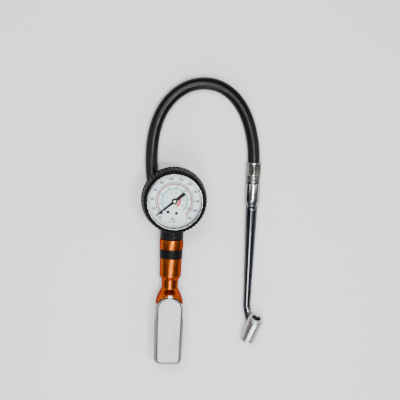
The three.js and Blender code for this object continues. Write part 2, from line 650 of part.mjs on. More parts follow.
function addChuckLine() {
  const { ferruleTop, collarTop, barrelTop, coneTop, stemTop } = CHUCK;
  const ferruleFoot = collarTop + GAP;
  const ferrule = chuckTurned([
    [FERRULE_BORE_R, ferruleFoot], [FERRULE_BORE_R, ferruleTop], [FERRULE_R, ferruleTop],
    [FERRULE_R, ferruleFoot], [FERRULE_BORE_R, ferruleFoot],
  ]);
  add('hose_chuck_ferrule', ferrule, chrome);
  const collarFoot = barrelTop + GAP;
  const fitting = chuckTurned([
    [2, 9], [2, 38.5], [3.8, 38.5], [3.8, collarTop], [7.3, collarTop], [7.3, collarFoot],
    [4.4, collarFoot], [4.4, 9], [2, 9],
  ]);
  add('hose_chuck_fitting', fitting, brass);
  const barrel = chuckTurned([
    [2.4, stemTop], [2.4, 8.5], [4.7, 8.5], [4.7, barrelTop], [FERRULE_R - 0.5, barrelTop],
    [FERRULE_R, barrelTop - 0.5], [FERRULE_R, coneTop], [STEM.topR + 0.2, stemTop], [2.4, stemTop],
  ]);
  add('chuck_barrel', barrel, chrome);
  add('chuck_stem', makeStem(), chrome);
}

const onHead = (u) => HEAD_CENTRE.clone().addScaledVector(HEAD_DIR, u);

// One foot of the chuck: everything on one side of the head's web
function addFoot(name, sign) {
  const dir = HEAD_DIR.clone().multiplyScalar(sign);
  const { r, half, capL, mouthR } = HEAD;
  const foot = (piece, geometry, material) =>
    add(`${name}_${piece}`, aim(geometry, HEAD_CENTRE, dir), material);
  foot('cap', turned([[mouthR, 10.6], [5.4, 10.6], [5.4, half + GAP], [r, half + GAP],
    [r, half + capL - 0.7], [r - 0.7, half + capL], [mouthR, half + capL], [mouthR, 10.6]]), chrome);
  foot('seal', ring(2.6, 5.4, 8.2, 10.4, 24), rubber);
  foot('depressor', turned([[0, 5.4], [3.4, 5.4], [3.4, 6.8], [1.2, 7.2], [1.2, 10.4], [0.7, 10.9],
    [0, 10.9]], 16), brass);
  foot('depressor_spring', coil(2.4, 0.35, 3, 3).translate(0, 0, 2.2), steel);
}

function addChuckHead() {
  const { r, half } = HEAD;
  const shell = bar(r, onHead(-half), onHead(half), 28);
  const inlet = new THREE.Vector3(CHUCK_X + 0.9, STEM.straightEnd - 9, CHUCK_Z + 0.6);
  const head = cut(shell,
    bar(5.7, onHead(2), onHead(half + 1), 20),
    bar(5.7, onHead(-2), onHead(-half - 1), 20),
    bar(1.6, onHead(-3), onHead(3), 12),
    bar(1.6, HEAD_CENTRE, inlet, 12));
  add('chuck_head', head, chrome);
  addFoot('upper_foot', 1);
  addFoot('lower_foot', -1);
}

addBody();
addValve();
addLever();
addHeadBlock();
addHose();
addGaugeShell();
addMovement();
addDial();
addChuckLine();
addChuckHead();

export default object;
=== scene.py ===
"""Looks of a tyre inflator with a dial gauge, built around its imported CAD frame."""

import json
import math

import bpy
import bmesh
from mathutils import Matrix, Vector


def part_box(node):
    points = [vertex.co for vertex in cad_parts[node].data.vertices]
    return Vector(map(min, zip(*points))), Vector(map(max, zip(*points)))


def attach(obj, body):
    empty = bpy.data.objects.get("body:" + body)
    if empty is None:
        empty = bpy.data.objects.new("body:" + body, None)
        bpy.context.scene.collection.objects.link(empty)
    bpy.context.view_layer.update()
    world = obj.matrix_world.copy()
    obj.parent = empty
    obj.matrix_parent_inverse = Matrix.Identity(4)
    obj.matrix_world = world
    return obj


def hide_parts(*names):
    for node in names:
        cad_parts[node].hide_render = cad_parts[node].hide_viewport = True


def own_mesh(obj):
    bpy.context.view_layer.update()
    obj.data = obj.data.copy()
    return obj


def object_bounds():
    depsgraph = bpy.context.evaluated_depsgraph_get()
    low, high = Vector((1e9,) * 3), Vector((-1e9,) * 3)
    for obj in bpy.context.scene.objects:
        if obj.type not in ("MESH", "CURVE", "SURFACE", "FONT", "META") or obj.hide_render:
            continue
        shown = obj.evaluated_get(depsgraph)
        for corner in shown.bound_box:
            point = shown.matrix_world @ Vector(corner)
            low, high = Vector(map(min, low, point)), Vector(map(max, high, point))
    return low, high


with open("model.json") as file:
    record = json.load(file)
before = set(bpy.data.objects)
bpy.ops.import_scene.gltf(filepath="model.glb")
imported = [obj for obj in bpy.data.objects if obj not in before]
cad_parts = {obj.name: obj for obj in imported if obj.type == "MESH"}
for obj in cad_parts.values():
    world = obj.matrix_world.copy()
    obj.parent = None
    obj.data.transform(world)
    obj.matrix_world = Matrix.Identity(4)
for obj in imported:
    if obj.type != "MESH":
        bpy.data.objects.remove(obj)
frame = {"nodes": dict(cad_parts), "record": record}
cad_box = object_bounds()

MM = 0.001


def centre(node):
    low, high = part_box(node)
    return (low + high) / 2


def foot(node):
    """The point on the floor below the centre of a node."""
    middle = centre(node)
    return Vector((middle.x, middle.y, 0))


def levels(node):
    """Lower and upper height of a node, in millimetres."""
    low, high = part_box(node)
    return low.z / MM, high.z / MM


# The body's own millimetre frame: the gauge axis is x = y = 0 and z is height
GAUGE = centre("gauge_boot")
AXIS_Z = centre("grip_band").z / MM
FORWARD = Vector((0, 1, 0))
DOWN_BODY = Vector((0, -1, 0))
UP = Vector((0, 0, 1))


def at(x, y, z):
    return Vector((GAUGE.x + x * MM, GAUGE.y + y * MM, z * MM))


# ---------------------------------------------------------------- camera
AIM = Vector((-0.0058, 0.0687, 0.020))
VIEW_BACK = Vector((-0.075, 0.115, 0.99053))
VIEW_DISTANCE = 1.0
VIEW_ROLL = math.radians(2.5)
LENS_MM = 84.6


def make_camera():
    camera = bpy.data.objects.new("camera", bpy.data.cameras.new("camera"))
    bpy.context.scene.collection.objects.link(camera)
    back = VIEW_BACK.normalized()
    side = FORWARD.cross(back).normalized()
    up = back.cross(side)
    right = side * math.cos(VIEW_ROLL) + up * math.sin(VIEW_ROLL)
    above = back.cross(right)
    turn = Matrix((right, above, back)).transposed().to_4x4()
    camera.matrix_world = Matrix.Translation(AIM + back * VIEW_DISTANCE) @ turn
    camera.data.lens = LENS_MM
    camera.data.clip_start = 0.05
    bpy.context.scene.camera = camera


make_camera()


# ------------------------------------------------------------- materials
class Paint:
    """A procedural material; each method adds nodes and returns an output socket."""

    def __init__(self, name, **sockets):
        self.material = bpy.data.materials.new(name)
        self.material.use_nodes = True
        self.tree = self.material.node_tree
        self.shader = self.tree.nodes["Principled BSDF"]
        self.place = self.node("ShaderNodeTexCoord").outputs["Object"]
        for socket, value in sockets.items():
            self.shader.inputs[socket.replace("_", " ")].default_value = value

    def node(self, kind, **inputs):
        made = self.tree.nodes.new(kind)
        for socket, value in inputs.items():
            self.feed(made.inputs[socket.replace("_", " ")], value)
        return made

    def feed(self, socket, value):
        if isinstance(value, bpy.types.NodeSocket):
            self.tree.links.new(value, socket)
        else:
            socket.default_value = value

    def stretched(self, x, y, z):
        node = self.node("ShaderNodeMapping", Vector=self.place, Scale=(x, y, z))
        return node.outputs["Vector"]

    def noise(self, scale, detail=4.0, place=None):
        node = self.node("ShaderNodeTexNoise", Scale=scale, Detail=detail,
                         Vector=place or self.place)
        return node.outputs["Fac"]

    def cells(self, scale, place=None):
        node = self.node("ShaderNodeTexVoronoi", Scale=scale, Vector=place or self.place)
        return node.outputs["Distance"]

    def waves(self, scale, distortion):
        node = self.node("ShaderNodeTexWave", Scale=scale, Distortion=distortion,
                         Vector=self.place)
        node.bands_direction = "Y"
        return node.outputs["Fac"]

    def spread(self, value, low, high, start=0.3, end=0.7):
        node = self.node("ShaderNodeMapRange", Value=value)
        for index, number in enumerate((start, end, low, high), 1):
            node.inputs[index].default_value = number
        return node.outputs["Result"]

    def blend(self, factor, first, second):
        node = self.node("ShaderNodeMix")
        node.data_type = "RGBA"
        self.feed(node.inputs[0], factor)
        self.feed(node.inputs[6], first)
        self.feed(node.inputs[7], second)
        return node.outputs[2]

    def edges(self, start, end):
        point = self.node("ShaderNodeNewGeometry").outputs["Pointiness"]
        return self.spread(point, 0, 1, start, end)

    def bumps(self, *layers):
        """Each layer is (height, strength, depth in millimetres)."""
        normal = None
        for height, strength, depth in layers:
            node = self.node("ShaderNodeBump", Height=height, Strength=strength,
                             Distance=depth * MM)
            if normal is not None:
                self.feed(node.inputs["Normal"], normal)
            normal = node.outputs["Normal"]
        self.feed(self.shader.inputs["Normal"], normal)

    def finish(self, colour, scale, detail, smooth, rough):
        """Sets the colour, and a roughness that a noise varies from smooth to rough."""
        self.feed(self.shader.inputs["Base Color"], colour)
        roughness = self.spread(self.noise(scale, detail), smooth, rough)
        self.feed(self.shader.inputs["Roughness"], roughness)
        return self.material


def shade(r, g, b):
    return (r, g, b, 1)


def grey(value):
    return shade(value, value, value)


def anodised_orange():
    paint = Paint("anodised_orange", Metallic=1.0, Coat_Weight=0.06, Coat_Roughness=0.12,
                  Specular_Tint=shade(0.22, 0.045, 0.002))
    cloud = paint.noise(45, 2)
    worn = paint.edges(0.6, 0.75)
    base = paint.blend(paint.spread(cloud, 0, 1), shade(0.36, 0.066, 0.003),
                       shade(0.42, 0.084, 0.005))
    colour = paint.blend(worn, base, shade(0.80, 0.34, 0.08))
    turning = paint.waves(700, 0.3)
    paint.bumps((paint.noise(2400, 2), 0.05, 0.03), (turning, 0.05, 0.02))
    return paint.finish(colour, 260, 3, 0.25, 0.31)


def black_rubber(name, tone, rough, gloss, grain=1500, lumps=0.12):
    paint = Paint(name, Specular_IOR_Level=gloss)
    dust = paint.spread(paint.noise(260, 6), 0, 1, 0.45, 0.8)
    colour = paint.blend(dust, shade(tone, tone, tone * 1.1),
                         shade(tone * 2, tone * 2, tone * 2.1))
    paint.bumps((paint.noise(grain, 4), lumps, 0.1), (paint.noise(180, 3), 0.12, 0.3))
    return paint.finish(colour, 600, 4, rough - 0.08, rough + 0.1)


def hose_rubber():
    paint = Paint("hose_rubber", Specular_IOR_Level=0.18)
    scuff = paint.spread(paint.noise(900, 6, paint.stretched(1, 0.25, 1)), 0, 1, 0.5, 0.8)
    colour = paint.blend(scuff, shade(0.0025, 0.0025, 0.003), shade(0.006, 0.006, 0.007))
    ply = paint.cells(420)
    paint.bumps((paint.noise(1900, 3), 0.1, 0.06), (ply, 0.05, 0.2))
    return paint.finish(colour, 500, 5, 0.26, 0.38)


def bright_metal(name, tint, smooth, rough, tarnish=(0.45, 0.44, 0.42)):
    edge = shade(*[channel * 0.5 for channel in tint])
    paint = Paint(name, Metallic=1.0, Specular_Tint=edge)
    film = paint.spread(paint.noise(240, 6), 0, 0.45, 0.45, 0.75)
    colour = paint.blend(film, shade(*tint), shade(*tarnish))
    polish = paint.noise(1400, 2, paint.stretched(1, 1, 0.2))
    paint.bumps((polish, 0.03, 0.04), (paint.noise(150, 2), 0.05, 0.2))
    return paint.finish(colour, 520, 5, smooth, rough)


def satin_steel():
    paint = Paint("lever_chrome", Metallic=1.0, Specular_Tint=grey(0.5))
    film = paint.spread(paint.noise(120, 5), 0, 1, 0.35, 0.7)
    base = paint.blend(film, shade(0.295, 0.295, 0.30), shade(0.245, 0.245, 0.25))
    lines = paint.noise(1500, 4, paint.stretched(1, 0.04, 1))
    scratches = paint.spread(paint.cells(160, paint.stretched(3.2, 0.22, 1)), 1, 0, 0.0, 0.035)
    worn = paint.edges(0.52, 0.58)
    colour = paint.blend(worn, paint.blend(scratches, base, grey(0.5)),
                         grey(0.62))
    paint.bumps((lines, 0.10, 0.05), (scratches, 0.12, 0.04), (paint.noise(700, 3), 0.1, 0.05))
    return paint.finish(colour, 380, 6, 0.33, 0.46)


def coated_black():
    paint = Paint("black_paint", Specular_IOR_Level=0.12)
    worn = paint.edges(0.6, 0.72)
    base = paint.blend(paint.noise(300, 5), shade(0.003, 0.003, 0.0035), shade(0.007, 0.007, 0.008))
    colour = paint.blend(worn, base, shade(0.16, 0.15, 0.14))
    paint.bumps((paint.noise(1300, 5), 0.35, 0.12), (paint.noise(200, 2), 0.1, 0.3))
    return paint.finish(colour, 700, 4, 0.42, 0.6)


def dial_enamel():
    paint = Paint("dial_face", Coat_Weight=0.15, Coat_Roughness=0.3)
    tone = paint.blend(paint.spread(paint.noise(45, 3), 0, 1), shade(0.76, 0.90, 0.93),
                       shade(0.80, 0.93, 0.96))
    paint.bumps((paint.noise(2500, 3), 0.06, 0.03))
    return paint.finish(tone, 900, 4, 0.42, 0.55)


def printed(name, r, g, b):
    paint = Paint(name)
    ink = paint.blend(paint.spread(paint.noise(2200, 4), 0, 1, 0.35, 0.75), shade(r, g, b),
                      shade(r * 1.5 + 0.02, g * 1.5 + 0.02, b * 1.5 + 0.02))
    return paint.finish(ink, 1500, 3, 0.5, 0.65)


def needle_paint():
    paint = Paint("needle_black", Specular_IOR_Level=0.06)
    colour = paint.blend(paint.noise(900, 4), shade(0.0015, 0.0015, 0.002),
                         shade(0.004, 0.004, 0.0045))
    paint.bumps((paint.noise(2600, 3), 0.12, 0.03))
    return paint.finish(colour, 800, 3, 0.38, 0.5)


def clear_lens():
    paint = Paint("lens_glass", Alpha=0.04, Metallic=1.0)
    haze = paint.blend(paint.spread(paint.noise(90, 4), 0, 1), shade(0.80, 0.90, 0.93),
                       shade(0.92, 0.96, 0.98))
    return paint.finish(haze, 300, 5, 0.03, 0.08)


def floor_paint():
    paint = Paint("floor", Specular_IOR_Level=0.2)
    tone = paint.blend(paint.noise(6, 3), grey(0.84), grey(0.87))
    return paint.finish(tone, 40, 3, 0.7, 0.8)


ORANGE = anodised_orange()
RUBBER = black_rubber("rubber", 0.003, 0.45, 0.08)
BOOT = black_rubber("boot_rubber", 0.002, 0.46, 0.035, 1100, 0.1)
HOSE = hose_rubber()
CHROME = bright_metal("chrome", (0.42, 0.43, 0.45), 0.13, 0.2, (0.25, 0.25, 0.25))
# The chuck stem's chrome is much darker than the barrel's chrome. This is painted shade: it stands in
# for the dark surroundings that the stem reflects.
STEM_CHROME_PAINTED_SHADE = bright_metal("stem_chrome_painted_shade", (0.14, 0.15, 0.172), 0.10, 0.18, (0.12, 0.12, 0.12))
SLEEVE_CHROME = bright_metal("sleeve_chrome", (0.30, 0.29, 0.27), 0.12, 0.22, (0.17, 0.16, 0.14))
HEAD_CHROME = bright_metal("head_chrome", (0.56, 0.56, 0.56), 0.24, 0.34, (0.4, 0.4, 0.39))
BLACK_OXIDE = bright_metal("black_oxide", (0.022, 0.022, 0.024), 0.34, 0.5, (0.03, 0.03, 0.03))
STEEL = bright_metal("steel", (0.50, 0.51, 0.53), 0.26, 0.42)
DARK_STEEL = bright_metal("dark_steel", (0.20, 0.19, 0.19), 0.2, 0.34, (0.11, 0.1, 0.09))
BRASS = bright_metal("brass", (0.66, 0.48, 0.21), 0.22, 0.38, (0.32, 0.21, 0.1))
PALE_BRASS = bright_metal("pale_brass", (0.80, 0.70, 0.50), 0.4, 0.55, (0.6, 0.5, 0.35))
SATIN = satin_steel()
BLACK = coated_black()
DIAL = dial_enamel()
NEEDLE = needle_paint()
LENS = clear_lens()
INK_BLACK = printed("ink_black", 0.004, 0.006, 0.01)
INK_ROSE = printed("ink_rose", 0.30, 0.09, 0.12)
INK_RED = printed("ink_red", 0.52, 0.055, 0.08)
INK_MAROON = printed("ink_maroon", 0.13, 0.012, 0.025)
INK_TEAL = printed("ink_teal", 0.12, 0.38, 0.35)
INK_GREEN = printed("ink_green", 0.02, 0.15, 0.12)


# ---------------------------------------------------------- mesh helpers
def set_smooth(piece, smooth=True):
    for face in piece.data.polygons:
        face.use_smooth = smooth


def link(name, mesh, material):
    piece = bpy.data.objects.new(name, mesh)
    bpy.context.scene.collection.objects.link(piece)
    piece.data.materials.clear()
    piece.data.materials.append(material)
    set_smooth(piece)
    return piece


def solid(name, rings, material, loop=False):
    """Quads between rings of points; ends are capped, or joined where loop is true."""
    count = len(rings[0])
    mesh = bpy.data.meshes.new(name)
    points = [tuple(point) for ring in rings for point in ring]
    faces = []
    last = len(rings) if loop else len(rings) - 1
    for k in range(last):
        here, there = k * count, ((k + 1) % len(rings)) * count
        for i in range(count):
            j = (i + 1) % count
            faces.append((here + i, here + j, there + j, there + i))
    if not loop:
        faces.append(tuple(range(count))[::-1])
        faces.append(tuple((len(rings) - 1) * count + i for i in range(count)))
    mesh.from_pydata(points, [], faces)
    tidy = bmesh.new()
    tidy.from_mesh(mesh)
    bmesh.ops.remove_doubles(tidy, verts=tidy.verts, dist=1e-7)
    bmesh.ops.recalc_face_normals(tidy, faces=tidy.faces)
    tidy.to_mesh(mesh)
    tidy.free()
    return link(name, mesh, material)


def softened(profile, radius=0.35, steps=4, loop=False):
    """The same outline with each corner rounded, by at most a third of its edges."""
    points = [Vector(p) for p in profile]
    out = [] if loop else [points[0]]
    corners = range(len(points)) if loop else range(1, len(points) - 1)
    for i in corners:
        before, corner, after = points[i - 1], points[i], points[(i + 1) % len(points)]
        back, ahead = before - corner, after - corner
        cut = min(radius, back.length / 3, ahead.length / 3)
        start, end = corner + back.normalized() * cut, corner + ahead.normalized() * cut
        for k in range(steps + 1):
            t = k / steps
            out.append(start * (1 - t) ** 2 + corner * 2 * t * (1 - t) + end * t * t)
    if not loop:
        out.append(points[-1])
    return out


def across(direction):
    """Two unit vectors square to a direction."""
    guide = UP if abs(direction.z) < 0.9 else Vector((1, 0, 0))
    first = guide.cross(direction).normalized()
    return first, direction.cross(first)


def turned(name, profile, start, direction, material, segments=96, loop=True, shape=None):
    """A lathe piece; the profile is (radius, distance along direction) in millimetres."""
    direction = direction.normalized()
    first, second = across(direction)
    rings = []
    for r, s in profile:
        ring = []
        for i in range(segments):
            angle = 2 * math.pi * i / segments
            reach = shape(angle, r, s) if shape else r
            out = first * math.cos(angle) + second * math.sin(angle)
            ring.append(start + (out * reach + direction * s) * MM)
        rings.append(ring)
    return solid(name, rings, material, loop)


def sweep(path, radius, segments=32):
    """Rings of a tube along a path, with radius(share of the way) in millimetres."""
    tangents = [(path[min(i + 1, len(path) - 1)] - path[max(i - 1, 0)]).normalized()
                for i in range(len(path))]
    normal = across(tangents[0])[0]
    rings = []
    for i, (point, tangent) in enumerate(zip(path, tangents)):
        normal = (normal - tangent * normal.dot(tangent)).normalized()
        other = tangent.cross(normal)
        reach = radius(i / (len(path) - 1)) * MM
        rings.append([point + (normal * math.cos(a) + other * math.sin(a)) * reach
                      for a in (2 * math.pi * k / segments for k in range(segments))])
    return rings


def curve_through(points, spacing=1.0):
    """Points every spacing millimetres on a smooth curve through the given ones."""
    ends = [points[0] * 2 - points[1], *points, points[-1] * 2 - points[-2]]
    out = []
    for a, b, c, d in zip(ends, ends[1:], ends[2:], ends[3:]):
        gaps = [(b - a).length ** 0.5, (c - b).length ** 0.5, (d - c).length ** 0.5]
        lead = ((b - a) / gaps[0] - (c - a) / (gaps[0] + gaps[1]) + (c - b) / gaps[1]) * gaps[1]
        tail = ((c - b) / gaps[1] - (d - b) / (gaps[1] + gaps[2]) + (d - c) / gaps[2]) * gaps[1]
        steps = max(2, round((c - b).length / (spacing * MM)))
        for k in range(steps):
            t = k / steps
            out.append(b * (2 * t ** 3 - 3 * t ** 2 + 1) + lead * (t ** 3 - 2 * t ** 2 + t)
                       + c * (3 * t ** 2 - 2 * t ** 3) + tail * (t ** 3 - t ** 2))
    out.append(points[-1])
    return out


def slab(name, outline, low, high, material, edge=0.15):
    """A flat plate of an outline in the body's frame, with its edges rounded."""
    rings = [[at(x, y, z) for x, y in outline] for z in (low, high)]
    piece = solid(name, rings, material)
    soften_edges(piece, edge)
    return piece


def soften_edges(piece, width, steps=2, angle=35):
    bevel = piece.modifiers.new("edges", "BEVEL")
    bevel.width = width * MM
    bevel.segments = steps
    bevel.limit_method = "ANGLE"
    bevel.angle_limit = math.radians(angle)
    bevel.harden_normals = True


def freeze(piece):
    """Applies the modifiers of a piece."""
    graph = bpy.context.evaluated_depsgraph_get()
    mesh = bpy.data.meshes.new_from_object(piece.evaluated_get(graph))
    piece.modifiers.clear()
    piece.data = mesh
    return piece


def carve(piece, *tools):
    """Cuts the tools out of a piece and removes them."""
    for tool in tools:
        cut = piece.modifiers.new("cut", "BOOLEAN")
        cut.operation = "DIFFERENCE"
        cut.solver = "EXACT"
        cut.object = tool
    freeze(piece)
    for tool in tools:
        bpy.data.objects.remove(tool)
    return piece


def melt(name, parts, voxel, rounds, material):
    """Joins closed parts into one skin with soft edges."""
    joined = bmesh.new()
    for part in parts:
        joined.from_mesh(part.data)
        bpy.data.objects.remove(part)
    mesh = bpy.data.meshes.new(name)
    joined.to_mesh(mesh)
    joined.free()
    piece = link(name, mesh, material)
    remesh = piece.modifiers.new("skin", "REMESH")
    remesh.mode = "VOXEL"
    remesh.voxel_size = voxel * MM
    remesh.use_smooth_shade = True
    relax = piece.modifiers.new("relax", "SMOOTH")
    relax.factor = 0.5
    relax.iterations = rounds
    freeze(piece)
    set_smooth(piece)
    return piece


def flatten_faces(piece, level=0.999):
    """Keeps the level faces of a lathe piece truly flat in the light."""
    for face in piece.data.polygons:
        face.use_smooth = abs(face.normal.z) < level


def absorb(piece, other):
    """Moves the mesh of another piece into a piece."""
    joined = bmesh.new()
    joined.from_mesh(piece.data)
    joined.from_mesh(other.data)
    joined.to_mesh(piece.data)
    joined.free()
    bpy.data.objects.remove(other)


def mount(piece, slot, *nodes, body="inflator"):
    """Fixes a piece to its body and hides the CAD nodes that it replaces."""
    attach(piece, body)
    if nodes:
        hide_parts(*nodes)
    return piece


# ------------------------------------------------------------------ hose
HOSE_ANGLE = math.radians(23)
HOSE_R = 6.75
BOSS_ROOT_Y = -42
BOSS_END = 24
CHUCK_X = 85.3
CHUCK_Z = 7.9
HOSE_DIR = Vector((-math.sin(HOSE_ANGLE), math.cos(HOSE_ANGLE), 0))
BOSS_ROOT = at(0, BOSS_ROOT_Y, AXIS_Z)
FERRULE_R = 7.9
FERRULE_BORE = 7.1
FERRULE_L = 15


def on_boss(s):
    return BOSS_ROOT + HOSE_DIR * s * MM


HOSE_ROUTE = [
    on_boss(BOSS_END + 5.8), on_boss(BOSS_END + 13), on_boss(BOSS_END + 21),
    at(-20.6, 8.6, 12.1), at(-22.8, 19.2, 10.3), at(-24.2, 31, 8.5), at(-24.7, 44, 7.3),
    at(-24.1, 58.2, 6.9), at(-21.8, 73, 6.9), at(-17.2, 87.5, 6.9), at(-9.5, 101, 6.9),
    at(1.3, 112.2, 6.9), at(14.8, 119.8, 6.9), at(29.9, 122.5, 6.9), at(44.8, 120, 6.9),
    at(58, 112.4, 6.9), at(68.5, 100.8, 6.9), at(76, 87.1, 6.9), at(80.8, 72.9, 7),
    at(83.7, 59.2, 7.4), at(84.9, 47, 7.7), at(CHUCK_X, 36, CHUCK_Z), at(CHUCK_X, 25.8, CHUCK_Z),
]


def make_hose():
    line = curve_through(HOSE_ROUTE, 2.0)
    curve = bpy.data.curves.new("hose_rubber_tube", "CURVE")
    curve.dimensions = "3D"
    curve.bevel_depth = HOSE_R * MM
    curve.bevel_resolution = 10
    curve.use_fill_caps = True
    spline = curve.splines.new("POLY")
    spline.points.add(len(line) - 1)
    for point, place in zip(spline.points, line):
        point.co = (*place, 1)
    spline.use_smooth = True
    curve.materials.append(HOSE)
    piece = bpy.data.objects.new("hose_rubber_tube", curve)
    bpy.context.scene.collection.objects.link(piece)
    mount(piece, "hose_rubber", "hose")
    length = sum((b - a).length for a, b in zip(line, line[1:]))
    return piece, length


def crimped(angle, r, s):
    """Eight die flats pressed into the sleeve between its two lips."""
    depth = smooth_step(s, 1.6, 3.0) * (1 - smooth_step(s, FERRULE_L - 3.4, FERRULE_L - 2.0))
    die = 2 * math.pi / 8
    turn = (angle % die) - die / 2
    flat = (FERRULE_R - 0.75) / max(math.cos(turn), 0.5)
    ridge = 0.35 * math.exp(-((abs(turn) - die / 2) / 0.05) ** 2)
    pressed = min(flat, FERRULE_R - 0.35) + ridge
    return r if r < FERRULE_R - 0.5 else r + (pressed - FERRULE_R) * depth


def smooth_step(value, start, end):
    t = min(1, max(0, (value - start) / (end - start)))
    return t * t * (3 - 2 * t)


def make_ferrule(name, start, direction, node):
    steps = 30
    outer = [(FERRULE_R, FERRULE_L * k / steps) for k in range(1, steps)]
    lip = 0.35
    profile = [(FERRULE_BORE, 0.2), (FERRULE_R - lip, 0), *outer, (FERRULE_R - lip, FERRULE_L),
               (FERRULE_BORE, FERRULE_L - 0.2)]
    piece = turned(name, profile, start, direction, SLEEVE_CHROME, 192, True, crimped)
    return mount(piece, "chrome", node)


hose, hose_length = make_hose()
sleeve_middle = centre("hose_chuck_ferrule")
sleeve_foot = Vector((sleeve_middle.x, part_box("hose_chuck_ferrule")[0].y, sleeve_middle.z))
chuck_ferrule = make_ferrule("crimped_sleeve_chuck", sleeve_foot, FORWARD, "hose_chuck_ferrule")
body_ferrule = make_ferrule("crimped_sleeve_body", on_boss(BOSS_END + 5.3), HOSE_DIR,
                            "hose_body_ferrule")


# ------------------------------------------------------------------ body
SPIGOT = {"top": -36, "r": 7.8}
RING = {"top": -45, "r": 12.8}
BAND = {"top": -55.3, "bottom": -65.3, "r": 12.4, "groove": 10.9}
NECK = {"r": 11.7, "step": -85.4, "slim": 8.8}
FLARE = {"top": -98, "end": -115.5, "w": 14.9, "z": 32.4, "tail": -113.5}
GRIP = {"w": 11.9, "top": 24, "end": -177}
BELLY = -0.5
PIVOT_Y = -119.7
PIVOT = at(0, PIVOT_Y, 19.5)
POCKET = {"r": 15, "z": 13.5}
LEVER = {"end": -57.2, "top": 14.3, "sheet": 1.6, "arch": 14, "back": 13.2, "tongue": 2.4}
# Cutting tools reach this far past the body
WIDE = 20
HIGH = 60


def along_body(y):
    return at(0, y, AXIS_Z)


def make_neck():
    """The turned front of the body, from the spigot to the slim neck."""
    start, slim = SPIGOT["top"], NECK["slim"]
    ledge = start - NECK["step"]
    profile = [
        (0.01, 0), (SPIGOT["r"], 0), (SPIGOT["r"], start - RING["top"]),
        (RING["r"], start - RING["top"]), (RING["r"], start - BAND["top"]),
        (BAND["groove"], start - BAND["top"]), (BAND["groove"], start - BAND["bottom"]),
        (NECK["r"], start - BAND["bottom"]), (NECK["r"], ledge - 1.2), (NECK["r"] - 0.6, ledge),
        (slim + 0.7, ledge + 2.2), (slim, ledge + 3.6), (slim, ledge + 6.5), (0.01, ledge + 6.5),
    ]
    piece = turned("body_turned_neck", softened(profile, 0.55, 5), along_body(start),
                   DOWN_BODY, ORANGE, 128, False)
    return mount(piece, "anodised_orange", "body_casting")


def section(y, w, low, high, power, sides=96):
    """A superellipse across the body, round at power 2."""
    def soften(v):
        return math.copysign(abs(v) ** (2 / power), v)
    angles = [2 * math.pi * i / sides for i in range(sides)]
    mid, half = (low + high) / 2, (high - low) / 2
    return [at(w * soften(math.cos(a)), y, mid + half * soften(math.sin(a))) for a in angles]


def mix(a, b, t):
    return a + (b - a) * t


def make_shoulder():
    slim = NECK["slim"]
    rings = [section(y, slim, AXIS_Z - slim, AXIS_Z + slim, 2) for y in (-90.5, -93, -95.5)]
    steps = 36
    for k in range(steps + 1):
        t = k / steps
        rise = math.sin(t * math.pi / 2) ** 0.9
        lift = smooth_step(t, 0, 0.36)
        rings.append(section(mix(FLARE["top"], FLARE["end"], t), mix(slim, FLARE["w"], rise),
                             mix(AXIS_Z - slim, BELLY, rise), mix(AXIS_Z + slim, FLARE["z"], lift),
                             mix(2, 3.4, rise)))
    shoulder = solid("shoulder", rings, ORANGE)
    return carve(shoulder, pocket_tool(), tail_tool(), tongue_tool())


def arc_points(cx, cy, r, start, end, steps):
    angles = [mix(start, end, k / steps) for k in range(steps + 1)]
    return [(cx + r * math.cos(a), cy + r * math.sin(a)) for a in angles]


def prism(name, outline, low, high):
    return solid(name, [[at(x, y, z) for x, y in outline] for z in (low, high)], ORANGE)


def pocket_tool():
    r = POCKET["r"]
    outline = arc_points(0, PIVOT_Y, r, 0, math.pi, 64) + [(-r, PIVOT_Y - WIDE), (r, PIVOT_Y - WIDE)]
    return prism("pocket", outline, POCKET["z"], HIGH)


def rectangle(x0, x1, y0, y1):
    return [(x0, y0), (x1, y0), (x1, y1), (x0, y1)]


def tail_tool():
    return prism("tail", rectangle(-WIDE, WIDE, PIVOT_Y - WIDE, FLARE["tail"]), POCKET["z"], HIGH)


def tongue_tool():
    tip = PIVOT_Y + LEVER["arch"] + LEVER["tongue"]
    return prism("slot", rectangle(-2.9, 2.9, tip - 5, tip + 0.5), 29.5, HIGH)


def make_grip():
    w, top, end = GRIP["w"], GRIP["top"], GRIP["end"]
    rings = [section(-105, w, 1, top, 8), section(-112, w, BELLY, top, 8),
             section(end + 1, w, BELLY, top, 8), section(end, w - 1, BELLY + 1, top - 1, 7)]
    grip = solid("grip", rings, ORANGE)
    nose = arc_points(0, PIVOT_Y, w - 0.2, 0, math.pi, 48)
    front = prism("front", [(-WIDE, PIVOT_Y), *nose[::-1], (WIDE, PIVOT_Y), (WIDE, -100),
                            (-WIDE, -100)], POCKET["z"], HIGH)
    bore_at = centre("inlet_bush")
    mouth = Vector((bore_at.x, GAUGE.y + end * MM, bore_at.z))
    bore = turned("bore", [(9.15, -5), (9.15, 15)], mouth, FORWARD, ORANGE, 64, False)
    return carve(grip, front, bore)


def rest_flat(piece):
    """Planes the underside flat where the object rests."""
    for vertex in piece.data.vertices:
        vertex.co.z = max(vertex.co.z, 0.00002)


def make_body():
    shell = melt("body_shoulder_and_grip", [make_shoulder(), make_grip()], 0.32, 9, ORANGE)
    rest_flat(shell)
    mount(shell, "anodised_orange", "body_casting")
    make_neck()


def make_band():
    length = BAND["top"] - BAND["bottom"] - 0.3
    groove = BAND["groove"] + 0.15
    profile = softened([(groove, 0), (BAND["r"], 0), (BAND["r"], length), (groove, length)],
                       0.7, 6, True)
    piece = turned("rubber_band", profile, along_body(BAND["top"] - 0.15), DOWN_BODY, RUBBER, 128)
    mount(piece, "rubber", "grip_band")


